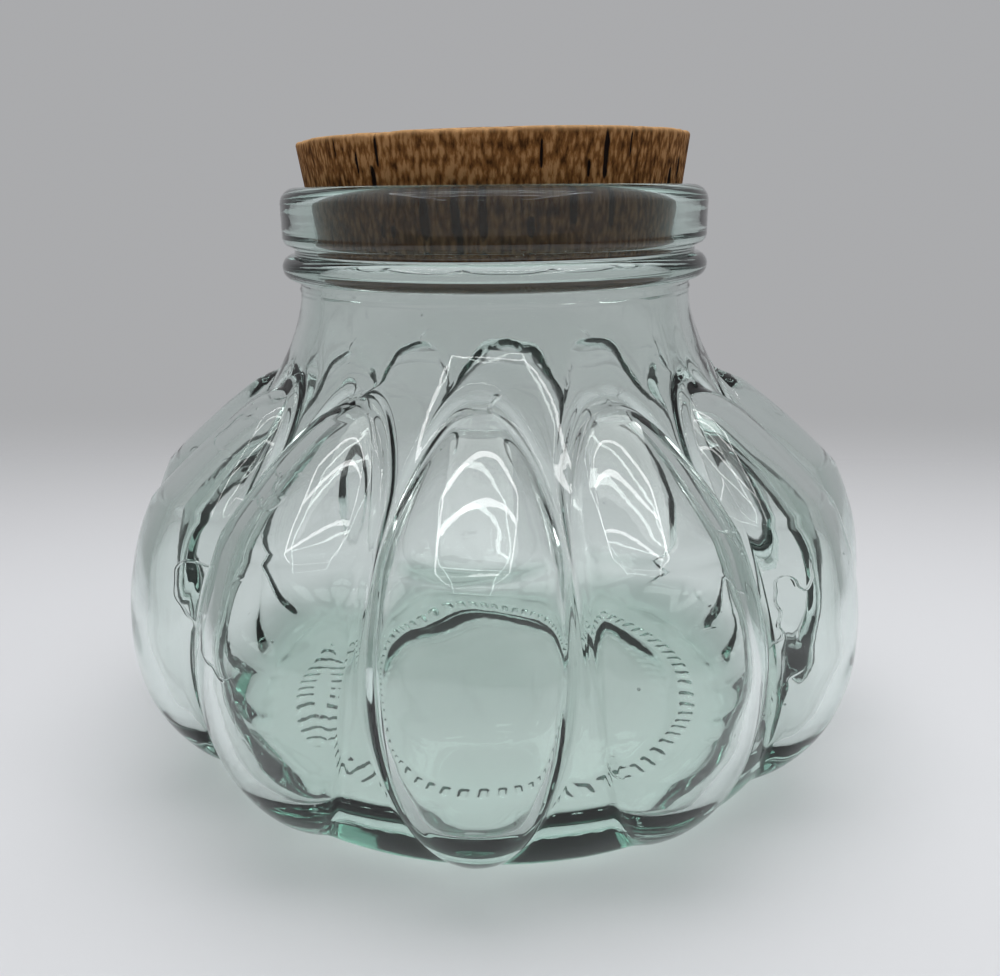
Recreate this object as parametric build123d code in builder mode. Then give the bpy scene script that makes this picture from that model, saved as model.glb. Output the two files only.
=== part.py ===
import os
from math import cos, pi, radians, sin, tan

from build123d import *

os.makedirs("parts", exist_ok=True)

# Glass jar with a lobed, pumpkin-like body and a tapered cork lid.
# Lengths are in millimetres, +Z is up, and the origin is the centre of the
# circle that the jar stands on.

# body: twelve petal-shaped lobes around a rounded core
lobe_count = 12
body_radius = 104.0          # to the crest of a lobe, at the widest height
valley_radius = 94.4         # of the core, at the widest height
ring_radius = 44.8           # centre of the bulge, out from the axis
widest_height = 43.4
lobe_top_height = 105.2
crest_reach_up = 65.7        # half height of the crest's curve, upwards
crest_reach_down = 52.0      # and downwards
valley_reach_down = 62.0
crest_fullness = 2.1         # exponent of the crest's curve, 2 is an ellipse
heel_round = 5.0             # of the core
lobe_heel_round = 5.0        # of the lobes, which end just above the ground
lobe_low_height = 0.8
edge_sink = 0.6              # how far a lobe's edges go under the core
petal_width_share = 0.97     # widest part of a petal over the pitch
narrowest_petal_share = 0.1
petal_end_fullness = 0.85     # depth of a petal's narrow end over half its width
upper_taper_length = 30.0    # an arched end at the top
lower_taper_length = 66.0    # and a longer, slimmer one at the bottom
upper_taper_power = 0.42
lower_taper_power = 0.5
petal_steps = 13
core_steps = 14

# neck, bead and collar
neck_radius = 52.3
neck_height = 131.0
bead_height = 133.6
bead_radius = 56.7
bead_thickness = 6.4
collar_radius = 56.3
collar_bottom_height = 138.8
rim_height = 153.5
groove_radius = 53.4
collar_bottom_round = 2.4
rim_outer_round = 4.2
lip_round = 1.6

# walls and base
wall = 4.4
inner_lobe_share = 0.8       # how much of a lobe's depth shows inside
floor_height = 9.5
inner_heel_round = 14.0
floor_dome_rise = 3.2
floor_dome_radius = 48.0
push_up_radius = 54.0
push_up_rise = 5.0
knurl_count = 72
knurl_inner_radius = 56.0
knurl_length = 6.0
knurl_width = 2.2
knurl_depth = 0.6

# cork lid
cork_height = 29.0
cork_top_radius = 51.2
cork_taper = 8.0             # degrees a side
cork_stand_out = 11.8        # how far it stands above the rim
cork_lean = 1.0              # degrees, a natural stopper sits a little askew
cork_top_round = 0.9
cork_bottom_round = 1.2
seat_clearance = 0.3
bore_length = 16.0           # tapered part of the mouth below the rim

cork_bottom_radius = cork_top_radius - cork_height * tan(radians(cork_taper))
cork_radius_at_rim = cork_top_radius - cork_stand_out * tan(radians(cork_taper))
mouth_radius = cork_radius_at_rim + seat_clearance
bore_radius = neck_radius - wall
bore_bottom_height = rim_height - bore_length
mouth_slope = (mouth_radius - bore_radius) / bore_length
inner_lobe_low = floor_height + inner_heel_round / 4
slope_step = wall / 40


def crest_at(height):
    """Radius of a lobe's crest line."""
    reach = crest_reach_up if height > widest_height else crest_reach_down
    along = min(1, abs(height - widest_height) / reach)
    bulge = (1 - along ** crest_fullness) ** (1 / crest_fullness)
    return ring_radius + (body_radius - ring_radius) * bulge


def valley_at(height):
    """Radius between the lobes, up to the neck in half a cosine wave."""
    if height > widest_height:
        along = min(1, (height - widest_height) / (neck_height - widest_height))
        return neck_radius + (valley_radius - neck_radius) * cos(pi / 2 * along) ** 2
    along = min(1, (widest_height - height) / valley_reach_down)
    return ring_radius + (valley_radius - ring_radius) * (1 - along ** 2) ** 0.5


def across(radius_at, height):
    """Level thickness of a wall that is measured square to its surface."""
    step_up = radius_at(height + slope_step)
    step_down = radius_at(height - slope_step)
    slope = (step_up - step_down) / (2 * slope_step)
    return wall * (1 + slope ** 2) ** 0.5


def core_at(height):
    """Radius of the outer core, rounded where it meets the ground."""
    return valley_at(height) - round_loss(height, heel_round)


def inner_core_at(height):
    thickness = across(valley_at, height)
    return valley_at(height) - thickness - round_loss(height - floor_height, inner_heel_round)


def inner_crest_at(height):
    core = inner_core_at(height)
    thickness = across(crest_at, height) + round_loss(height - floor_height, inner_heel_round)
    return core + (crest_at(height) - thickness - core) * inner_lobe_share


def round_loss(height, radius):
    """What a rounded edge at height zero takes off a wall above it."""
    along = min(1, max(0, height) / radius)
    return radius * (1 - (1 - (1 - along) ** 2) ** 0.5)


def on_ring(radius, angle):
    return (radius * cos(angle), radius * sin(angle))


def petal_width_at(height, low):
    """Half angle that a petal takes up at a height."""
    from_top = min(1, (lobe_top_height - height) / upper_taper_length)
    from_low = min(1, (height - low) / lower_taper_length)
    width = petal_width_share
    width *= sin(pi / 2 * from_top) ** upper_taper_power
    width *= sin(pi / 2 * from_low) ** lower_taper_power
    return max(narrowest_petal_share, width) * pi / lobe_count


def petal_section(core, crest, low, height):
    """Level cut through one petal: its round front and a flat back under the core."""
    edge = core - edge_sink
    half_width = petal_width_at(height, low)
    front = max(crest - round_loss(height - low, lobe_heel_round), core)
    front = min(front, edge + petal_end_fullness * edge * sin(half_width))
    if height in (low, lobe_top_height):
        front = core - edge_sink / 2
    left = on_ring(edge, -pi / 2 - half_width)
    right = on_ring(edge, -pi / 2 + half_width)
    ThreePointArc(left, on_ring(front, -pi / 2), right)
    Line(right, left)


def eased(low, high, steps):
    """Values from low to high, closer together at both ends."""
    middle = [low + (high - low) * (1 - cos(pi * i / steps)) / 2 for i in range(1, steps)]
    return [low] + middle + [high]


with BuildPart() as petal:
    for height in eased(lobe_low_height, lobe_top_height, petal_steps):
        with BuildSketch(Plane.XY.offset(height)):
            with BuildLine():
                petal_section(core_at(height), crest_at(height), lobe_low_height, height)
            make_face()
    loft()

with BuildPart() as inner_petal:
    for height in eased(inner_lobe_low, lobe_top_height, petal_steps):
        with BuildSketch(Plane.XY.offset(height)):
            with BuildLine():
                petal_section(inner_core_at(height), inner_crest_at(height), inner_lobe_low, height)
            make_face()
    loft()

with BuildPart() as glass_jar:
    # core, up through the neck into the bead
    with BuildSketch(Plane.XZ):
        with BuildLine():
            heel = Spline(*[(core_at(h), h) for h in eased(0, 2 * heel_round, 6)])
            side = Spline(*[(core_at(h), h) for h in eased(2 * heel_round, neck_height, core_steps)])
            Polyline(
                side @ 1,
                (neck_radius, bead_height),
                (0, bead_height),
                (0, 0),
                heel @ 0,
            )
        make_face()
    revolve(axis=Axis.Z)

    with PolarLocations(0, lobe_count):
        add(petal.part)

    # bead and collar
    with BuildSketch(Plane.XZ):
        with Locations((0, bead_height - bead_thickness / 4)):
            Rectangle(
                groove_radius,
                rim_height - bead_height + bead_thickness / 4,
                align=(Align.MIN, Align.MIN),
            )
        with Locations((bead_radius - bead_thickness / 2, bead_height)):
            Circle(bead_thickness / 2)
        with Locations((collar_radius, collar_bottom_height)):
            Rectangle(
                collar_radius - bore_radius,
                rim_height - collar_bottom_height,
                align=(Align.MAX, Align.MIN),
            )
    revolve(axis=Axis.Z)

    # inside of the core and the neck
    inner_bend = floor_height + inner_heel_round
    with BuildSketch(Plane.XZ):
        with BuildLine():
            inner_heel = Spline(*[(inner_core_at(h), h) for h in eased(floor_height, inner_bend, 6)])
            inner_side = Spline(*[(inner_core_at(h), h) for h in eased(inner_bend, neck_height, core_steps)])
            Polyline(
                inner_side @ 1,
                (bore_radius, bore_bottom_height + wall / 2),
                (0, bore_bottom_height + wall / 2),
                (0, floor_height),
                inner_heel @ 0,
            )
        make_face()
    revolve(axis=Axis.Z, mode=Mode.SUBTRACT)
    with PolarLocations(0, lobe_count):
        add(inner_petal.part, mode=Mode.SUBTRACT)

    # tapered mouth
    with BuildSketch(Plane.XZ):
        with BuildLine():
            Polyline(
                (0, bore_bottom_height - wall),
                (bore_radius - wall * mouth_slope, bore_bottom_height - wall),
                (mouth_radius, rim_height),
                (0, rim_height),
                close=True,
            )
        make_face()
    revolve(axis=Axis.Z, mode=Mode.SUBTRACT)

    # hollow under the base, which leaves a ring to stand on
    with BuildSketch(Plane.XZ):
        with BuildLine():
            hollow = ThreePointArc((-push_up_radius, 0), (0, push_up_rise), (push_up_radius, 0))
            Line(hollow @ 1, hollow @ 0)
        make_face()
        Rectangle(body_radius, body_radius, align=(Align.MAX, Align.CENTER), mode=Mode.SUBTRACT)
    revolve(axis=Axis.Z, mode=Mode.SUBTRACT)

    # low dome on the floor, above the hollow
    dome_foot = floor_height - wall / 4
    with BuildSketch(Plane.XZ):
        with BuildLine():
            dome = ThreePointArc(
                (-floor_dome_radius, dome_foot),
                (0, floor_height + floor_dome_rise),
                (floor_dome_radius, dome_foot),
            )
            Line(dome @ 1, dome @ 0)
        make_face()
        Rectangle(body_radius, body_radius, align=(Align.MAX, Align.CENTER), mode=Mode.SUBTRACT)
    revolve(axis=Axis.Z)

    # knurled grip marks in the standing ring
    with PolarLocations(knurl_inner_radius + knurl_length / 2, knurl_count):
        Box(knurl_length, knurl_width, 2 * knurl_depth, mode=Mode.SUBTRACT)

    # rounded collar, rim and lip
    collar_edges = glass_jar.edges().filter_by(GeomType.CIRCLE)
    collar_edges = collar_edges.filter_by_position(Axis.Z, collar_bottom_height, collar_bottom_height)
    fillet(collar_edges.sort_by(SortBy.RADIUS)[-1], collar_bottom_round)
    rim_edges = glass_jar.edges().filter_by(GeomType.CIRCLE).group_by(Axis.Z)[-1]
    fillet(rim_edges.sort_by(SortBy.RADIUS)[-1], rim_outer_round)
    rim_edges = glass_jar.edges().filter_by(GeomType.CIRCLE).group_by(Axis.Z)[-1]
    fillet(rim_edges.sort_by(SortBy.RADIUS)[0], lip_round)

glass_jar.part.label = "glass_jar"
export_step(glass_jar.part, "parts/glass_jar.step")

with BuildPart() as cork_lid:
    with Locations(Location((0, 0, rim_height), (0, -cork_lean, 0))):
        with Locations((0, 0, cork_stand_out)):
            Cone(
                cork_bottom_radius,
                cork_top_radius,
                cork_height,
                align=(Align.CENTER, Align.CENTER, Align.MAX),
            )
    rims = cork_lid.edges().filter_by(GeomType.CIRCLE).sort_by(Axis.Z)
    fillet(rims[-1], cork_top_round)
    fillet(cork_lid.edges().filter_by(GeomType.CIRCLE).sort_by(Axis.Z)[0], cork_bottom_round)

cork_lid.part.label = "cork_lid"
export_step(cork_lid.part, "parts/cork_lid.step")
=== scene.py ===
import math
import random

import bpy
import numpy as np
from mathutils import Matrix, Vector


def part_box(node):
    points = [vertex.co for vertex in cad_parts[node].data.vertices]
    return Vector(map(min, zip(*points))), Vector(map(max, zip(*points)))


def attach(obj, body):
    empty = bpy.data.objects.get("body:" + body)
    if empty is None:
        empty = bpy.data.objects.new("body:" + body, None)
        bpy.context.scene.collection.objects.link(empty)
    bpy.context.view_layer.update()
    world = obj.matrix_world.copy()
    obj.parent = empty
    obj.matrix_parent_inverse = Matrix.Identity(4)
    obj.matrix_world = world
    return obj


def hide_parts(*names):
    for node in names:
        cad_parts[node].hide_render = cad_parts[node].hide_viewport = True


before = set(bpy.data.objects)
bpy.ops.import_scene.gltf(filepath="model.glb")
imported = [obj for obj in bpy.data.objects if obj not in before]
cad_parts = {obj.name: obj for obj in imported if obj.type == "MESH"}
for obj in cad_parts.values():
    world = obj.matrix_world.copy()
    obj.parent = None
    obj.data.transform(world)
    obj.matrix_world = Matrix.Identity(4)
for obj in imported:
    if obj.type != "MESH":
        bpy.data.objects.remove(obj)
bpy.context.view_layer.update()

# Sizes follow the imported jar. mm is one of its millimetres in metres.
jar_low, jar_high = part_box("glass_jar")
body_radius = (jar_high[0] - jar_low[0]) / 2
rim_height = jar_high[2]
mm = body_radius / 104

# body
lobe_count = 12
valley_radius = 94.4 * mm
ring_radius = 44.8 * mm
widest_height = 43.4 * mm
lobe_top_height = 105.2 * mm
crest_reach_up = 65.7 * mm
crest_reach_down = 52.0 * mm
valley_reach_down = 62.0 * mm
crest_fullness = 2.1
heel_round = 5.0 * mm
lobe_heel_round = 5.0 * mm
lobe_low_height = 0.8 * mm
edge_sink = 0.6 * mm
petal_width_share = 0.97
narrowest_petal_share = 0.1
petal_end_fullness = 0.85
petal_end_round = 2.5 * mm
upper_taper_length = 30.0 * mm
lower_taper_length = 66.0 * mm
upper_taper_power = 0.42
lower_taper_power = 0.5
front_lobe_lean = math.radians(2.7)
lean_low_height = 72.0 * mm
close_rows_below = 10.0 * mm
close_rows_above = 88.0 * mm
edge_blend = 2.0 * mm
edge_step = 2.4 * mm
edge_step_reach = 1.2 * mm
worn_edge_blend = 8.0 * mm
worn_end_round = 9.0 * mm

# neck, bead and collar
neck_radius = 52.3 * mm
neck_height = 131.0 * mm
bead_height = 133.6 * mm
bead_radius = 56.7 * mm
bead_thickness = 6.4 * mm
groove_radius = 53.4 * mm
collar_radius = 56.3 * mm
collar_bottom_height = 138.8 * mm
collar_bottom_round = 2.4 * mm
rim_outer_round = 4.2 * mm
lip_round = 1.6 * mm
parting_line_height = 128.0 * mm
parting_line_rise = 0.4 * mm
parting_line_width = 0.45 * mm

# walls and base
wall = 4.4 * mm
inner_softness = 2.2 * mm
inner_row = 0.5 * mm
inner_rows_below = 106.0 * mm
inner_heel_below = 30.0 * mm
floor_height = 9.5 * mm
inner_heel_round = 14.0 * mm
floor_dome_rise = 3.2 * mm
floor_dome_radius = 48.0 * mm
floor_dip = 0.1 * mm
push_up_radius = 54.0 * mm
push_up_rise = 5.0 * mm
knurl_count = 72
knurl_inner_radius = 56.0 * mm
knurl_length = 6.0 * mm
knurl_width = 2.2 * mm
knurl_depth = 0.6 * mm
bore_radius = neck_radius - wall
bore_length = 16.0 * mm
bore_bottom_height = rim_height - bore_length

# cork
cork_height = 29.0 * mm
cork_top_radius = 51.2 * mm
cork_taper = math.radians(8)
cork_stand_out = 11.8 * mm
cork_lean = math.radians(1)
cork_top_round = 0.9 * mm
cork_bottom_round = 1.2 * mm
seat_clearance = 0.3 * mm
cork_bottom_radius = cork_top_radius - cork_height * math.tan(cork_taper)
mouth_radius = cork_top_radius - cork_stand_out * math.tan(cork_taper) + seat_clearance
mouth_slope = (mouth_radius - bore_radius) / bore_length

# pressed glass is never quite even
outer_ripple = 0.12 * mm
inner_ripple = 0.10 * mm
floor_ripple = 0.10 * mm
wrinkle_top_height = 112.0 * mm
wrinkle_low_height = 20.0 * mm
seed_count = 70

# camera, its angles in degrees and its lens in millimetres
camera_distance = 269.8 * mm
camera_height = 152.1 * mm
camera_azimuth = 3.98
camera_pitch = 17.10
camera_roll = 0.567
camera_yaw = 0.17
camera_lens = 34.73

# depths of the glass's waves and wrinkles and of the cork's grain, and the
# cork's growth bands, in metres
glass_wave_depth = 0.0001
wrinkle_depth = 0.00012
cork_grain_depth = 0.0005
band_height = 0.0042
band_sway = 0.006

# floor and lamps, in metres
floor_radius = 0.8
floor_corners = 96
floor_clearance = 0.0002
soft_box_height = 0.93
soft_box_back = 0.15
bar_height = 0.42
bar_reach = 0.20
bar_width = 0.010
bar_radiance = 8.5
cross_bar_depths = (-0.07, -0.13, -0.24, -0.56)
side_bar_depth = -0.315
side_bar_length = 0.49

# The skin is a grid of rings. Every lobe has the same number of columns, and
# where it has a petal most of them lie between the petal's edges.
columns_per_lobe = 60
columns = lobe_count * columns_per_lobe
pitch = 2 * math.pi / lobe_count
angle = np.arange(columns) * 2 * math.pi / columns
lobe_middle = np.round(angle / pitch) * pitch
across_lobe = (angle - lobe_middle) / (pitch / 2)
petal_columns_share = 0.74
# the mould is crisp in front and worn behind
facing_front = np.clip(0.8 - np.sin(angle), 0, 1)
crispness = 0.15 + 0.85 * facing_front ** 2 * (3 - 2 * facing_front)


def crest_at(height):
    """Radius of a lobe's crest line."""
    reach = np.where(height > widest_height, crest_reach_up, crest_reach_down)
    along = np.minimum(1, np.abs(height - widest_height) / reach)
    bulge = (1 - along ** crest_fullness) ** (1 / crest_fullness)
    return ring_radius + (body_radius - ring_radius) * bulge


def valley_at(height):
    """Radius between the lobes, up to the neck in half a cosine wave."""
    up = np.clip((height - widest_height) / (neck_height - widest_height), 0, 1)
    upper = neck_radius + (valley_radius - neck_radius) * np.cos(math.pi / 2 * up) ** 2
    down = np.clip((widest_height - height) / valley_reach_down, 0, 1)
    lower = ring_radius + (valley_radius - ring_radius) * np.sqrt(1 - down ** 2)
    return np.where(height > widest_height, upper, lower)


def round_loss(height, radius):
    """What a rounded edge at height zero takes off a wall above it."""
    along = np.clip(height / radius, 0, 1)
    return radius * (1 - np.sqrt(1 - (1 - along) ** 2))


def smooth_max(a, b, blend):
    """Larger of two radii, with a round hollow corner where they cross."""
    close = np.maximum(blend - np.abs(a - b), 0)
    return np.maximum(a, b) + close ** 2 / (4 * np.maximum(blend, 1e-9))


def petal_half_angle(height, low):
    """Half angle that a petal takes up at a height."""
    from_top = np.clip((lobe_top_height - height) / upper_taper_length, 0, 1)
    from_low = np.clip((height - low) / lower_taper_length, 0, 1)
    width = petal_width_share
    width = width * np.sin(math.pi / 2 * from_top) ** upper_taper_power
    width = width * np.sin(math.pi / 2 * from_low) ** lower_taper_power
    return np.maximum(narrowest_petal_share, width) * math.pi / lobe_count


def gathered(height, hold):
    """Angle from the middle of its lobe of each column, gathered on the petals."""
    half = petal_half_angle(height, lobe_low_height)
    away = np.abs(across_lobe)
    on_petal = half * away / petal_columns_share
    beside = half + (pitch / 2 - half) * (away - petal_columns_share) / (1 - petal_columns_share)
    packed = np.where(away < petal_columns_share, on_petal, beside) * np.sign(across_lobe)
    return hold * packed + (1 - hold) * across_lobe * pitch / 2


def lobed(core, crest, height, offset):
    """Radius of the petalled wall at each column's angle from the middle of its lobe."""
    half = petal_half_angle(height, lobe_low_height)
    edge = core - edge_sink
    front = min(max(crest, core), edge + petal_end_fullness * edge * math.sin(half))
    from_end = min(height - lobe_low_height, lobe_top_height - height)
    if from_end <= 0:
        return np.full(columns, core)
    start = core - edge_sink / 2
    end_round = petal_end_round + worn_end_round * (1 - crispness)
    front = start + (front - start) * np.sqrt(np.minimum(1, from_end / end_round))
    centre = (front ** 2 - edge ** 2) / (2 * (front - edge * math.cos(half)))
    reach = front - centre
    inside = reach ** 2 - (centre * np.sin(offset)) ** 2
    petal = centre * np.cos(offset) + np.sqrt(np.maximum(inside, 0))
    petal = np.where(inside > 0, petal, 0)
    # the petal stands up from the core in a short steep step, then rounds over
    proud = petal - core
    highest = np.maximum(front - core, 0.01 * mm)
    step = edge_step * np.minimum(1, highest / (3 * edge_step)) * crispness
    stepped = proud * (1 - step / highest) + step * (1 - np.exp(-proud / edge_step_reach))
    petal = core + np.where(proud > 0, stepped, proud)
    blend = edge_blend + worn_edge_blend * (1 - crispness)
    return smooth_max(core, petal, blend * min(1, from_end / (2 * edge_blend)))


def outer_wall(height, offset):
    """Radius of the outer wall at each column, from the ground to the bead."""
    core = float(valley_at(height) - round_loss(height, heel_round))
    front = float(crest_at(height) - round_loss(height - lobe_low_height, lobe_heel_round))
    return lobed(core, front, height, offset)


def eased_step(value):
    value = np.clip(value, 0, 1)
    return value * value * (3 - 2 * value)


def softened(grid, rows, turns):
    """Blur a grid of radii over its rows, and over its columns that close round the jar."""
    reach = np.arange(-math.ceil(3 * rows), math.ceil(3 * rows) + 1)
    weights = np.exp(-0.5 * (reach / rows) ** 2)
    padded = np.pad(grid, ((len(reach) // 2, len(reach) // 2), (0, 0)), mode="edge")
    grid = sum(w * padded[i:i + len(grid)] for i, w in enumerate(weights / weights.sum()))
    waves = np.fft.rfft(grid, axis=1)
    waves *= np.exp(-0.5 * (np.arange(waves.shape[1]) * turns) ** 2)
    return np.fft.irfft(waves, columns, axis=1)


def inner_grid():
    """Inner radii on even rows: the outer wall without its edges, one wall further in."""
    rows = np.arange(0, bore_bottom_height + 4 * mm, inner_row)
    even = across_lobe * pitch / 2
    outer = np.array([outer_wall(height, even) for height in rows])
    soft = softened(outer, inner_softness / inner_row, inner_softness / body_radius)
    climb = np.gradient(soft, inner_row, axis=0)
    around = (np.roll(soft, -1, 1) - np.roll(soft, 1, 1)) / (2 * soft * 2 * math.pi / columns)
    return soft - wall * np.sqrt(1 + climb ** 2 + around ** 2)


def inner_wall(height):
    """The inside follows the lobes softly, with no edges."""
    row = height / inner_row
    low = int(row)
    t = row - low
    before, here, after, beyond = inner_rows[low - 1:low + 3]
    bend = 2 * before - 5 * here + 4 * after - beyond
    turned = 3 * (here - after) + beyond - before
    radius = here + t / 2 * (after - before + t * (bend + t * turned))
    return radius - round_loss(height - floor_height, inner_heel_round)


def lobe_lean(height):
    """The front lobe's top leans to the right, as no two lobes are quite alike."""
    rng = random.Random(4)
    leans = np.array([rng.uniform(-0.12, 0.12) for _ in range(lobe_count)])
    leans[round(0.75 * lobe_count)] = 1
    here = leans[np.round(lobe_middle / pitch).astype(int) % lobe_count]
    above = eased_step((height - lean_low_height) / (28 * mm))
    below = eased_step((neck_height - height) / (20 * mm))
    return front_lobe_lean * here * (above * below) * (1 - across_lobe ** 2) ** 2


def wave_field(seed, count, shortest, longest):
    """Seeded waves that close round the jar: turns, climb, phase."""
    rng = random.Random(seed)
    waves = []
    for _ in range(count):
        number = 2 * math.pi / rng.uniform(shortest, longest)
        heading = rng.uniform(0, math.pi)
        turns = round(number * math.cos(heading) * 0.8 * body_radius)
        waves.append((turns, number * math.sin(heading), rng.uniform(0, 2 * math.pi)))
    return waves


def ripple(waves, height):
    """Sum of the waves at each column, of one strength whatever their number."""
    total = sum(np.cos(turns * angle + climb * height + phase) for turns, climb, phase in waves)
    return total / math.sqrt(len(waves))


def floor_waves(seed, count, shortest, longest):
    """Seeded waves across the floor: two wave numbers and a phase."""
    rng = random.Random(seed)
    waves = []
    for _ in range(count):
        number = 2 * math.pi / rng.uniform(shortest, longest)
        heading = rng.uniform(0, math.pi)
        phase = rng.uniform(0, 2 * math.pi)
        waves.append((number * math.cos(heading), number * math.sin(heading), phase))
    return waves


def dimples(seed, count, low, high, smallest, largest):
    """Seeded soft dents and humps: angle, height, radius, depth from -1 to 1."""
    rng = random.Random(seed)
    return [
        (
            rng.uniform(0, 2 * math.pi),
            rng.uniform(low, high),
            rng.uniform(smallest, largest),
            rng.uniform(-1, 1),
        )
        for _ in range(count)
    ]


def dented(spots, height, radius):
    """Sum of the dents and humps at each column of a ring."""
    total = np.zeros(columns)
    for turn, level, size, depth in spots:
        if abs(height - level) > 3 * size:
            continue
        around = np.angle(np.exp(1j * (angle - turn))) * radius
        total += depth * np.exp(-(around ** 2 + (height - level) ** 2) / size ** 2)
    return total


def arc_points(centre_radius, centre_height, radius, start, end, steps):
    """Points of an arc in the profile, angles in degrees."""
    return [
        (centre_radius + radius * math.cos(turn), centre_height + radius * math.sin(turn))
        for turn in np.radians(np.linspace(start, end, steps))
    ]


def dome_at(radius, foot_radius, foot_height, top_height):
    """Height of a shallow dome over a radius."""
    rise = top_height - foot_height
    bend = (foot_radius ** 2 + rise ** 2) / (2 * rise)
    return top_height - bend + np.sqrt(bend ** 2 - radius ** 2)


def add_rings(name, rings, low_centre, high_centre, extra_points=(), extra_faces=()):
    """Closed skin through rings of equal size, closed by a fan at both ends."""
    count = len(rings[0])
    points = np.concatenate(list(rings) + [np.array([low_centre, high_centre])])
    column = np.arange(count)
    after = (column + 1) % count
    start = np.arange(len(rings) - 1)[:, None] * count
    above = start + count
    quads = np.stack([start + column, start + after, above + after, above + column], -1)
    faces = quads.reshape(-1, 4).tolist()
    low_index = len(rings) * count
    last = (len(rings) - 1) * count
    faces += [(low_index, int(b), int(a)) for a, b in zip(column, after)]
    faces += [(last + int(a), last + int(b), low_index + 1) for a, b in zip(column, after)]
    base = len(points)
    all_points = points.tolist() + list(extra_points)
    faces += [tuple(base + i for i in face) for face in extra_faces]
    mesh = bpy.data.meshes.new(name)
    mesh.from_pydata(all_points, [], faces)
    mesh.polygons.foreach_set("use_smooth", [True] * len(mesh.polygons))
    mesh.update()
    piece = bpy.data.objects.new(name, mesh)
    bpy.context.scene.collection.objects.link(piece)
    return piece


def ring_at(radius, height, turn=angle):
    radius = np.broadcast_to(radius, columns)
    height = np.broadcast_to(height, columns)
    return np.stack([radius * np.cos(turn), radius * np.sin(turn), height], -1)


def knurl_rise(radius):
    """Soft-edged grip marks pressed into the standing ring."""
    middle = knurl_inner_radius + knurl_length / 2
    along = np.clip((knurl_length / 2 - abs(radius - middle)) / (1.2 * mm), 0, 1)
    spacing = 2 * math.pi / knurl_count
    offset = np.abs((angle + spacing / 2) % spacing - spacing / 2) * middle
    dent = np.clip(1.5 - offset / knurl_width * 2, 0, 1)
    return knurl_depth * along * dent ** 2 * (3 - 2 * dent)


def bubble_points(centre, radius, turns=10, levels=6):
    """A small bubble whose skin faces inwards, away from the glass around it."""
    points = []
    for level in range(1, levels):
        lift = math.pi * level / levels
        for turn in range(turns):
            around = 2 * math.pi * turn / turns
            points.append((
                centre[0] + radius * math.sin(lift) * math.cos(around),
                centre[1] + radius * math.sin(lift) * math.sin(around),
                centre[2] + radius * math.cos(lift),
            ))
    points.append((centre[0], centre[1], centre[2] + radius))
    points.append((centre[0], centre[1], centre[2] - radius))
    faces = []
    top, bottom = len(points) - 2, len(points) - 1
    for turn in range(turns):
        after = (turn + 1) % turns
        faces.append((top, after, turn))
        for level in range(levels - 2):
            a, b = level * turns, (level + 1) * turns
            faces.append((a + turn, a + after, b + after, b + turn))
        faces.append(((levels - 2) * turns + turn, (levels - 2) * turns + after, bottom))
    return points, faces


def build_seeds():
    """Fine seeds trapped in the wall."""
    rng = random.Random(31)
    points, faces = [], []
    for _ in range(seed_count):
        height = rng.uniform(18, 120) * mm
        turn = rng.randrange(columns)
        outside = outer_wall(height, across_lobe * pitch / 2)[turn]
        inside = inner_wall(height)[turn]
        middle = inside + (outside - inside) * rng.uniform(0.35, 0.65)
        centre = (middle * math.cos(angle[turn]), middle * math.sin(angle[turn]), height)
        size = rng.uniform(0.12, 0.38) * mm
        new_points, new_faces = bubble_points(centre, size)
        faces += [tuple(len(points) + i for i in face) for face in new_faces]
        points += new_points
    return points, faces


inner_rows = inner_grid()


def base_rings():
    """The hollow under the base, and the ring to stand on with its grip marks."""
    rings = [
        ring_at(radius, dome_at(radius, push_up_radius, 0, push_up_rise))
        for radius in np.linspace(push_up_radius / 20, push_up_radius, 20)
    ]
    base_edge = float(valley_at(0) - heel_round)
    for share in np.linspace(0, 1, 36)[1:-1]:
        radius = push_up_radius + (base_edge - push_up_radius) * share
        rings.append(ring_at(radius, knurl_rise(radius)))
    return rings


def side_rings():
    """Petals and neck up to the bead, slightly rippled, with the mould's parting line."""
    waves = wave_field(5, 14, 14 * mm, 45 * mm)
    to_top = lobe_top_height - close_rows_above
    levels = np.concatenate([
        close_rows_below * np.linspace(0, 1, 30, endpoint=False) ** 2,
        np.linspace(close_rows_below, close_rows_above, 78, endpoint=False),
        lobe_top_height - to_top * np.linspace(1, 0, 52, endpoint=False) ** 1.7,
        np.linspace(lobe_top_height, bead_height - 0.46 * bead_thickness, 44),
    ])
    rings = []
    for level in levels:
        below_top = eased_step((lobe_top_height + 7 * mm - level) / (6 * mm))
        hold = eased_step(level / (2 * mm)) * below_top
        offset = gathered(level, hold)
        radius = outer_wall(level, offset)
        turn = lobe_middle + offset + lobe_lean(level)
        calm = min(1, level / (12 * mm)) * min(1, max(0, neck_height - level) / (8 * mm))
        inwards = outer_ripple * calm * (ripple(waves, level) - 2.2)
        from_line = (level - parting_line_height) / parting_line_width
        seam = parting_line_rise * math.exp(-from_line ** 2)
        rings.append(ring_at(radius + inwards + seam, level, turn))
    return rings


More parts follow.
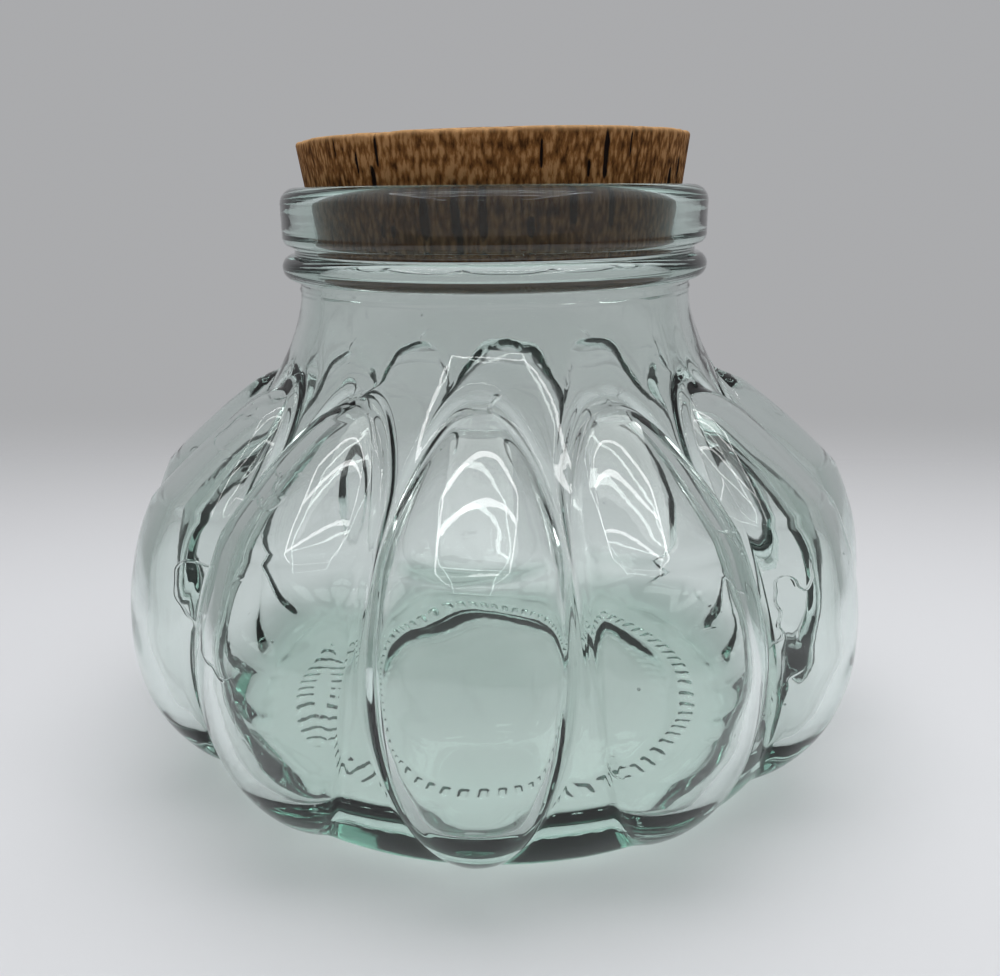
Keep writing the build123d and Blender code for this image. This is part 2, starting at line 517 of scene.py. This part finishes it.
def rim_rings():
    """Bead, groove and collar, over the lip and down the tapered mouth."""
    bead_half = bead_thickness / 2
    bead_centre = bead_radius - bead_half
    bead_start = -math.degrees(math.acos((neck_radius - bead_centre) / bead_half))
    bead_end = math.degrees(math.acos((groove_radius - bead_centre) / bead_half))
    profile = arc_points(bead_centre, bead_height, bead_half, bead_start, bead_end, 22)
    profile.append((groove_radius, profile[-1][1] + 0.6 * mm))
    profile.append((groove_radius, collar_bottom_height))
    low = collar_bottom_height + collar_bottom_round
    top = rim_height - rim_outer_round
    profile += arc_points(collar_radius - collar_bottom_round, low, collar_bottom_round, -90, 0, 9)
    profile += [(collar_radius, low + (top - low) * i / 6) for i in range(1, 6)]
    profile += arc_points(collar_radius - rim_outer_round, top, rim_outer_round, 0, 90, 14)
    slant = math.sqrt(1 + mouth_slope ** 2)
    lip_centre = mouth_radius - mouth_slope * lip_round + lip_round * slant
    lip_end = 180 - math.degrees(math.atan(mouth_slope))
    profile += arc_points(lip_centre, rim_height - lip_round, lip_round, 90, lip_end, 10)
    lip_foot = profile[-1][1]
    for share in np.linspace(0, 1, 16)[1:]:
        level = lip_foot + (bore_bottom_height - lip_foot) * share
        profile.append((mouth_radius - mouth_slope * (rim_height - level), level))
    return [ring_at(radius, level) for radius, level in profile]


def inside_rings():
    """The inside wall from the mouth down to the floor, with soft dents in it."""
    waves = wave_field(9, 26, 10 * mm, 34 * mm)
    spots = dimples(17, 70, 15 * mm, 100 * mm, 2.5 * mm, 7 * mm)
    levels = np.concatenate([
        np.linspace(bore_bottom_height, inner_rows_below, 34)[1:-1],
        np.linspace(inner_rows_below, inner_heel_below, 92, endpoint=False),
        floor_height + (inner_heel_below - floor_height) * np.linspace(1, 0, 40) ** 2,
    ])
    rings = []
    for level in levels:
        radius = inner_wall(level)
        below_neck = eased_step((neck_height - level) / (40 * mm))
        calm = below_neck * min(1, (level - floor_height) / (12 * mm))
        uneven = ripple(waves, level) * 0.8 + dented(spots, level, radius.mean())
        rings.append(ring_at(radius + inner_ripple * calm * uneven, level))
    return rings


def floor_rings():
    """The floor inside, with a low dome in its middle."""
    waves = floor_waves(21, 12, 16 * mm, 40 * mm)
    edge = inner_wall(floor_height).mean()
    dome_foot = floor_height - wall / 4
    dome_top = floor_height + floor_dome_rise
    rings = []
    for share in np.linspace(1, 0.02, 40)[1:]:
        radius = edge * share
        dome = dome_at(min(radius, floor_dome_radius), floor_dome_radius, dome_foot, dome_top)
        level = smooth_max(floor_height, dome, 0.8 * mm)
        calm = min(1, (1 - share) * 4)
        x, y = radius * np.cos(angle), radius * np.sin(angle)
        uneven = sum(np.cos(a * x + b * y + phase) for a, b, phase in waves) / math.sqrt(len(waves))
        rings.append(ring_at(radius, level - floor_dip + floor_ripple * calm * uneven))
    return rings


def build_glass():
    """The whole jar as one closed skin, from under the base, over the rim, to its floor."""
    rings = base_rings() + side_rings() + rim_rings()
    first_inner = len(rings)
    rings += inside_rings() + floor_rings()
    seed_points, seed_faces = build_seeds()
    low_centre = (0, 0, push_up_rise)
    high_centre = (0, 0, floor_height + floor_dome_rise - floor_dip)
    piece = add_rings("glass_body", rings, low_centre, high_centre, seed_points, seed_faces)

    # chill wrinkles lie on the inside wall, but not on the front petal
    from_front = np.abs(np.angle(np.exp(1j * (angle + math.pi / 2))))
    beside_front = np.clip((from_front - math.radians(13)) / math.radians(5), 0, 1)
    inside = np.zeros(len(piece.data.vertices))
    for index in range(first_inner, len(rings)):
        level = rings[index][0, 2]
        below_top = eased_step((wrinkle_top_height - level) / (10 * mm))
        above_floor = eased_step((level - wrinkle_low_height) / (10 * mm))
        inside[index * columns:(index + 1) * columns] = below_top * above_floor * beside_front
    add_values(piece, "inner_skin", inside)
    return piece


def add_values(piece, name, values):
    """Store one value for each point of a piece, for its material to read."""
    mark = piece.data.attributes.new(name, "FLOAT", "POINT")
    mark.data.foreach_set("value", np.asarray(values, dtype=np.float32))


# Lenticels on the front of the cork's side: turn from the front in degrees, then
# middle below the cork's top, length and width in millimetres.
front_lenticels = (
    (-38, 6.5, 6, 0.8), (-46, 3.0, 5, 0.6), (-31, 4.0, 8, 0.9), (-33, 9.5, 5, 1.6),
    (12, 5.5, 7, 0.8), (30, 6.0, 11, 1.6), (25, 9.0, 4, 0.9), (38, 4.0, 6, 0.7),
    (-18, 19.0, 9, 2.6), (-10, 17.0, 13, 2.4), (-3, 18.0, 12, 2.2), (-9, 22.5, 5, 1.6),
    (9, 21.0, 5, 1.8), (20, 17.0, 9, 2.0), (31, 17.5, 10, 1.6), (-27, 21.5, 3, 1.2),
    (-30, 21.5, 3, 1.2),
)


def cork_marks():
    """Every lenticel on the cork's side, listed in front and seeded elsewhere."""
    marks = [
        (math.radians(turn - 90) + 0.07, depth * mm, length * mm, width * mm)
        for turn, depth, length, width in front_lenticels
    ]
    rng = random.Random(12)
    for _ in range(46):
        turn = rng.uniform(-30, 210)
        marks.append((
            math.radians(turn),
            rng.uniform(2, 27) * mm,
            rng.uniform(3, 12) * mm,
            rng.uniform(0.6, 2.3) * mm,
        ))
    return marks


def side_mask(marks, turns, depth, radius):
    """How deep in a lenticel each point of a ring on the cork's side lies, 0 to 1."""
    mask = np.zeros(len(turns))
    for turn, middle, length, width in marks:
        up = (depth - middle) / (length / 2)
        if abs(up) > 1.6:
            continue
        around = np.angle(np.exp(1j * (turns - turn))) * radius / (width / 2)
        mask = np.maximum(mask, np.exp(-(np.abs(up) ** 4 + around ** 2)))
    return mask


def face_mask(spots, points):
    """The same for a ring on the cork's flat ends."""
    mask = np.zeros(len(points))
    for x, y, size, stretch in spots:
        away = ((points[:, 0] - x) / (size * stretch)) ** 2 + ((points[:, 1] - y) / size) ** 2
        mask = np.maximum(mask, np.exp(-away))
    return mask


def build_cork():
    """Tapered natural cork, its lenticels sunk a little into its skin."""
    count = 900
    turns = np.arange(count) * 2 * math.pi / count
    circle = np.stack([np.cos(turns), np.sin(turns)], -1)
    rng = random.Random(3)
    face_spots = [
        (
            rng.uniform(-cork_top_radius, cork_top_radius),
            rng.uniform(-cork_top_radius, cork_top_radius),
            rng.uniform(0.4, 1.5) * mm,
            rng.uniform(1, 2.2),
        )
        for _ in range(110)
    ]
    marks = cork_marks()
    wear = [
        (rng.uniform(0, 2 * math.pi), rng.uniform(1, 4) * mm, rng.uniform(0.1, 0.5) * mm)
        for _ in range(40)
    ]
    rings, masks, edges = [], [], []

    def face_ring(radius, level, sink):
        flat = circle * radius
        mask = face_mask(face_spots, flat)
        rings.append(np.column_stack([flat, level - sink * mask]))
        masks.append(mask)
        edges.append(np.zeros(count))

    def side_ring(radius, level):
        mask = side_mask(marks, turns, cork_stand_out - level, radius)
        chipped = np.zeros(count)
        for turn, width, depth in wear:
            around = np.angle(np.exp(1j * (turns - turn))) * radius
            near_top = math.exp(-((cork_stand_out - level) / (1.2 * mm)) ** 2)
            chipped = np.maximum(chipped, depth * near_top * np.exp(-(around / width) ** 2))
        inwards = radius - 0.35 * mm * mask - chipped
        rings.append(np.column_stack([circle * inwards[:, None], level - chipped / 2]))
        masks.append(mask)
        edges.append(np.full(count, eased_step(1 - (cork_stand_out - level) / (1.6 * mm))))

    bottom = cork_stand_out - cork_height
    flat_radius = cork_bottom_radius - cork_bottom_round
    for share in np.linspace(0.03, 1, 34)[:-1]:
        face_ring(flat_radius * share, bottom, -0.25 * mm)
    slant = math.degrees(cork_taper)
    round_height = bottom + cork_bottom_round
    for radius, level in arc_points(flat_radius, round_height, cork_bottom_round, -90, -slant, 6):
        side_ring(radius, level)
    side_low = bottom + 1.4 * cork_bottom_round
    side_high = cork_stand_out - 1.3 * cork_top_round
    for level in np.linspace(side_low, side_high, 90):
        side_ring(cork_top_radius - (cork_stand_out - level) * math.tan(cork_taper), level)
    flat_radius = cork_top_radius - 1.15 * cork_top_round
    round_height = cork_stand_out - cork_top_round
    for radius, level in arc_points(flat_radius, round_height, cork_top_round, 0, 90, 7):
        side_ring(radius, level)
    for share in np.linspace(1, 0.02, 60)[1:]:
        face_ring(flat_radius * share, cork_stand_out, 0.4 * mm)

    lean = Matrix.Translation((0, 0, rim_height)) @ Matrix.Rotation(-cork_lean, 4, "Y")
    piece = add_rings("cork_stopper", rings, (0, 0, bottom), (0, 0, cork_stand_out))
    piece.data.transform(lean)
    add_values(piece, "lenticel", np.concatenate(masks + [np.zeros(2)]))
    add_values(piece, "top_edge", np.concatenate(edges + [np.zeros(2)]))
    return piece


def put(tree, kind, inputs=None, **settings):
    """Add a node, set its own settings, and fill or link its inputs."""
    made = tree.nodes.new(kind)
    for name, value in settings.items():
        setattr(made, name, value)
    for name, value in (inputs or {}).items():
        socket = made.inputs[name]
        if isinstance(value, bpy.types.NodeSocket):
            tree.links.new(value, socket)
        else:
            socket.default_value = value
    return made


def maths(tree, operation, *values):
    return put(tree, "ShaderNodeMath", dict(enumerate(values)), operation=operation).outputs[0]


def noise(tree, place, scale, detail, roughness=0.5):
    inputs = {"Vector": place, "Scale": scale, "Detail": detail, "Roughness": roughness}
    return put(tree, "ShaderNodeTexNoise", inputs).outputs["Fac"]


def ranged(tree, value, low, high, start=0.0, end=1.0, curve="SMOOTHSTEP"):
    """Take a value from low to high to one from start to end, and hold it beyond."""
    inputs = {"Value": value, "From Min": low, "From Max": high, "To Min": start, "To Max": end}
    return put(tree, "ShaderNodeMapRange", inputs, interpolation_type=curve).outputs["Result"]


def blended(tree, share, first, second):
    """Colour between the first and the second."""
    inputs = {"Factor": share, "A": first, "B": second}
    return put(tree, "ShaderNodeMix", inputs, data_type="RGBA").outputs["Result"]


def point_value(tree, name):
    return put(tree, "ShaderNodeAttribute", attribute_name=name).outputs["Fac"]


def new_material(name):
    material = bpy.data.materials.new(name)
    material.use_nodes = True
    material.node_tree.nodes.clear()
    place = put(material.node_tree, "ShaderNodeTexCoord").outputs["Object"]
    return material, material.node_tree, place


def glass_material():
    """Pale green pressed glass, softly uneven, that turns deeper green where it is thick."""
    material, tree, place = new_material("green_pressed_glass")
    broad = noise(tree, place, 120, 2)
    fine = maths(tree, "MULTIPLY", noise(tree, place, 520, 2), 0.12)
    waves = put(tree, "ShaderNodeBump", {
        "Height": maths(tree, "ADD", broad, fine),
        "Strength": 0.3,
        "Distance": glass_wave_depth,
    })
    # chill wrinkles: thin wandering lines on the inside, gathered in patches
    from_line = maths(tree, "ABSOLUTE", maths(tree, "SUBTRACT", noise(tree, place, 62, 1.6), 0.5))
    line = ranged(tree, from_line, 0, 0.016, 1, 0)
    patch = ranged(tree, noise(tree, place, 26, 1), 0.59, 0.66, curve="LINEAR")
    line = maths(tree, "MULTIPLY", line, patch)
    line = maths(tree, "MULTIPLY", line, point_value(tree, "inner_skin"))
    wrinkled = put(tree, "ShaderNodeBump", {
        "Height": line,
        "Strength": 0.8,
        "Distance": wrinkle_depth,
        "Normal": waves.outputs["Normal"],
    })
    skin = put(tree, "ShaderNodeBsdfPrincipled", {
        "Base Color": (0.95, 0.97, 0.96, 1),
        "Roughness": ranged(tree, broad, 0.35, 0.7, 0, 0.03, curve="LINEAR"),
        "Metallic": 0.0,
        "IOR": 1.5,
        "Transmission Weight": 1.0,
        "Normal": wrinkled.outputs["Normal"],
    })
    body = put(tree, "ShaderNodeVolumeAbsorption", {
        "Color": (0.42, 0.83, 0.71, 1),
        "Density": 14.0,
    })
    # lamps reach the cork and the floor through the glass, less so at a slant
    slant = put(tree, "ShaderNodeLayerWeight", {"Blend": 0.5}).outputs["Facing"]
    slant = maths(tree, "POWER", slant, 1.8)
    let_through = blended(tree, slant, (0.888, 0.876, 0.872, 1), (0.40, 0.41, 0.41, 1))
    clear = put(tree, "ShaderNodeBsdfTransparent", {"Color": let_through})
    from_lamp = put(tree, "ShaderNodeLightPath").outputs["Is Shadow Ray"]
    lit = put(tree, "ShaderNodeMixShader", {0: from_lamp, 1: skin.outputs[0], 2: clear.outputs[0]})
    put(tree, "ShaderNodeOutputMaterial", {"Surface": lit.outputs[0], "Volume": body.outputs[0]})
    return material


def cork_material():
    """Natural cork with upright fibres, faint growth bands and dark lenticels."""
    material, tree, place = new_material("natural_cork")
    upright = put(tree, "ShaderNodeMapping", {"Vector": place, "Scale": (1, 1, 0.33)}).outputs[0]
    cells = put(tree, "ShaderNodeTexVoronoi", {
        "Vector": upright,
        "Scale": 880.0,
        "Randomness": 0.85,
    })
    fibres = noise(tree, upright, 1300, 5, 0.65)
    grain = maths(tree, "SUBTRACT", 0.44, maths(tree, "MULTIPLY", cells.outputs["Distance"], 0.55))
    grain = maths(tree, "MULTIPLY_ADD", fibres, 0.9, grain)
    grain = maths(tree, "MULTIPLY_ADD", noise(tree, upright, 130, 3), 0.42, grain)
    level = put(tree, "ShaderNodeSeparateXYZ", {0: place}).outputs["Z"]
    sway = maths(tree, "MULTIPLY_ADD", noise(tree, place, 45, 2), band_sway, level)
    bands = maths(tree, "SINE", maths(tree, "MULTIPLY", sway, 2 * math.pi / band_height))
    banded = maths(tree, "MULTIPLY_ADD", bands, -0.035, grain)
    ramp = put(tree, "ShaderNodeValToRGB", {"Fac": banded})
    darkest, lightest = ramp.color_ramp.elements
    darkest.position, darkest.color = 0.58, (0.065, 0.026, 0.007, 1)
    lightest.position, lightest.color = 1.06, (0.48, 0.255, 0.105, 1)
    ramp.color_ramp.elements.new(0.82).color = (0.25, 0.108, 0.032, 1)
    # lenticels have ragged edges
    ragged = maths(tree, "SUBTRACT", fibres, 0.5)
    mark = maths(tree, "MULTIPLY_ADD", ragged, 1.1, point_value(tree, "lenticel"))
    mark = ranged(tree, mark, 0.4, 0.62, curve="LINEAR")
    colour = blended(tree, mark, ramp.outputs["Color"], (0.012, 0.006, 0.004, 1))
    # the top edge is rubbed paler, and the part that sits in the mouth is painted darker: painted
    # shade for the light that the glass around it keeps off
    rubbed = maths(tree, "MULTIPLY", point_value(tree, "top_edge"), 0.7)
    colour = blended(tree, rubbed, colour, (0.60, 0.36, 0.17, 1))
    dark_below, pale_above = rim_height - 1.5 * mm, rim_height + 0.5 * mm
    painted_mouth_shade = ranged(tree, level, dark_below, pale_above, 0.8, 0, curve="LINEAR")
    colour = blended(tree, painted_mouth_shade, colour, (0.026, 0.007, 0.001, 1))
    bump = put(tree, "ShaderNodeBump", {
        "Height": maths(tree, "MULTIPLY_ADD", mark, -1.2, grain),
        "Strength": 0.8,
        "Distance": cork_grain_depth,
    })
    skin = put(tree, "ShaderNodeBsdfPrincipled", {
        "Base Color": colour,
        "Roughness": ranged(tree, grain, 0.5, 1.2, 0.92, 0.7, curve="LINEAR"),
        "IOR": 1.4,
        "Specular IOR Level": 0.15,
        "Normal": bump.outputs["Normal"],
    })
    put(tree, "ShaderNodeOutputMaterial", {"Surface": skin.outputs[0]})
    return material


def floor_material():
    """Pale paper that fades into the grey of the room, soonest behind the jar."""
    material, tree, place = new_material("pale_floor")
    away = put(tree, "ShaderNodeVectorMath", {0: place}, operation="LENGTH").outputs["Value"]
    parts = put(tree, "ShaderNodeSeparateXYZ", {0: place})
    behind = ranged(tree, parts.outputs["Y"], 0.04, 0.43)
    beside = ranged(tree, maths(tree, "ABSOLUTE", parts.outputs["X"]), 0.22, 0.42)
    fade = maths(tree, "MAXIMUM", ranged(tree, away, 0.45, 0.78), behind)
    fade = maths(tree, "MAXIMUM", fade, beside)
    paper = put(tree, "ShaderNodeBsdfDiffuse", {"Color": (0.70, 0.705, 0.725, 1)})
    clear = put(tree, "ShaderNodeBsdfTransparent")
    mixed = put(tree, "ShaderNodeMixShader", {0: fade, 1: paper.outputs[0], 2: clear.outputs[0]})
    put(tree, "ShaderNodeOutputMaterial", {"Surface": mixed.outputs[0]})
    return material


def build_floor():
    """A wide disc just under the jar."""
    turns = np.arange(floor_corners) * 2 * math.pi / floor_corners
    points = [(floor_radius * math.cos(turn), floor_radius * math.sin(turn), 0) for turn in turns]
    mesh = bpy.data.meshes.new("floor")
    mesh.from_pydata(points, [], [tuple(range(len(points)))])
    floor = bpy.data.objects.new("floor", mesh)
    floor.location.z = -floor_clearance
    floor.data.materials.append(floor_material())
    bpy.context.scene.collection.objects.link(floor)


def add_lamp(name, place, size_x, size_y, radiance):
    """An evenly lit rectangle that faces down."""
    light = bpy.data.lights.new(name, "AREA")
    light.shape = "RECTANGLE"
    light.size, light.size_y = size_x, size_y
    light.energy = radiance * math.pi * size_x * size_y
    lamp = bpy.data.objects.new(name, light)
    lamp.location = place
    bpy.context.scene.collection.objects.link(lamp)
    return lamp


def build_room():
    """A grey room that turns dark behind the camera, less so for light inside the glass."""
    world = bpy.data.worlds.new("grey_room")
    bpy.context.scene.world = world
    world.use_nodes = True
    tree = world.node_tree
    tree.nodes.clear()
    way = put(tree, "ShaderNodeTexCoord").outputs["Generated"]
    way = put(tree, "ShaderNodeSeparateXYZ", {0: way})
    front = ranged(tree, way.outputs["Y"], -0.35, -0.85)
    sides = ranged(tree, maths(tree, "ABSOLUTE", way.outputs["X"]), 0.6, 0.95, 0, 0.45)
    ray = put(tree, "ShaderNodeLightPath")
    unseen = maths(tree, "SUBTRACT", 1.0, ray.outputs["Is Camera Ray"])
    share = maths(tree, "MULTIPLY", unseen, maths(tree, "MAXIMUM", front, sides))
    in_glass = ray.outputs["Is Transmission Ray"]
    dark = blended(tree, in_glass, (0.05, 0.05, 0.052, 1), (0.24, 0.29, 0.275, 1))
    colour = blended(tree, share, (0.402, 0.405, 0.415, 1), dark)
    sky = put(tree, "ShaderNodeBackground", {"Color": colour, "Strength": 1.0})
    put(tree, "ShaderNodeOutputWorld", {"Surface": sky.outputs[0]})


def build_lamps():
    """A soft box above, and under it a thin frame of lamps that draws outlines on the glass."""
    soft_box = add_lamp("soft_box", (0.1, soft_box_back, soft_box_height), 1.1, 0.9, 2.2)
    soft_box.rotation_euler = (-math.atan2(soft_box_back, soft_box_height), 0, 0)
    soft_box.visible_glossy = False
    for index, depth in enumerate(cross_bar_depths):
        place = (0, depth, bar_height)
        add_lamp(f"frame_across_{index}", place, 2 * bar_reach, bar_width, bar_radiance)
    for side in (-1, 1):
        place = (side * bar_reach, side_bar_depth, bar_height)
        add_lamp(f"frame_side_{side + 1}", place, bar_width, side_bar_length, bar_radiance)


def build_camera():
    data = bpy.data.cameras.new("camera")
    data.lens = camera_lens
    data.sensor_width = 36
    camera = bpy.data.objects.new("camera", data)
    bpy.context.scene.collection.objects.link(camera)
    azimuth = math.radians(camera_azimuth)
    across, back = camera_distance * math.sin(azimuth), camera_distance * math.cos(azimuth)
    place = (across, -back, camera_height)
    camera.matrix_world = (
        Matrix.Translation(place)
        @ Matrix.Rotation(azimuth - math.radians(camera_yaw), 4, "Z")
        @ Matrix.Rotation(math.radians(90 - camera_pitch), 4, "X")
        @ Matrix.Rotation(-math.radians(camera_roll), 4, "Z")
    )
    bpy.context.scene.camera = camera


bpy.context.scene.view_settings.view_transform = "Standard"
build_camera()

jar = build_glass()
jar.data.materials.append(glass_material())
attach(jar, "jar")
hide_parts("glass_jar")

cork = build_cork()
cork.data.materials.append(cork_material())
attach(cork, "lid")
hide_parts("cork_lid")

build_floor()
build_room()
build_lamps()
